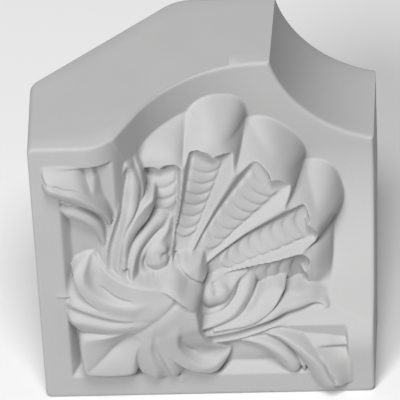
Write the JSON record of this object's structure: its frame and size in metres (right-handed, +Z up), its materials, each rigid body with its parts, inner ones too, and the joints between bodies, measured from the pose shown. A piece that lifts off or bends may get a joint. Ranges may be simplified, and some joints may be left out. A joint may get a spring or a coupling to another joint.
{
  "type": "crown moulding corner",
  "caption": "Inside corner block for a crown moulding: square in plan with a mitred cyma face, a quarter notch and a carved shell with leaves",
  "frame": {"origin": "On the ceiling contact face, 93 mm in plan from each of the two wall contact faces", "axes": "The pose of the picture. +X is to the right along the lower wall face, +Z is up along the left wall face, and -Y is out of the carved front. When fitted, +Y points up to the ceiling, and -X and -Z point at the two walls."},
  "size_m": [0.1534, 0.1063, 0.1534],
  "materials": {
    "casting": "matte primed off-white"
  },
  "bodies": {
    "root": {"corner_block": "casting"}
  },
  "joints": []
}
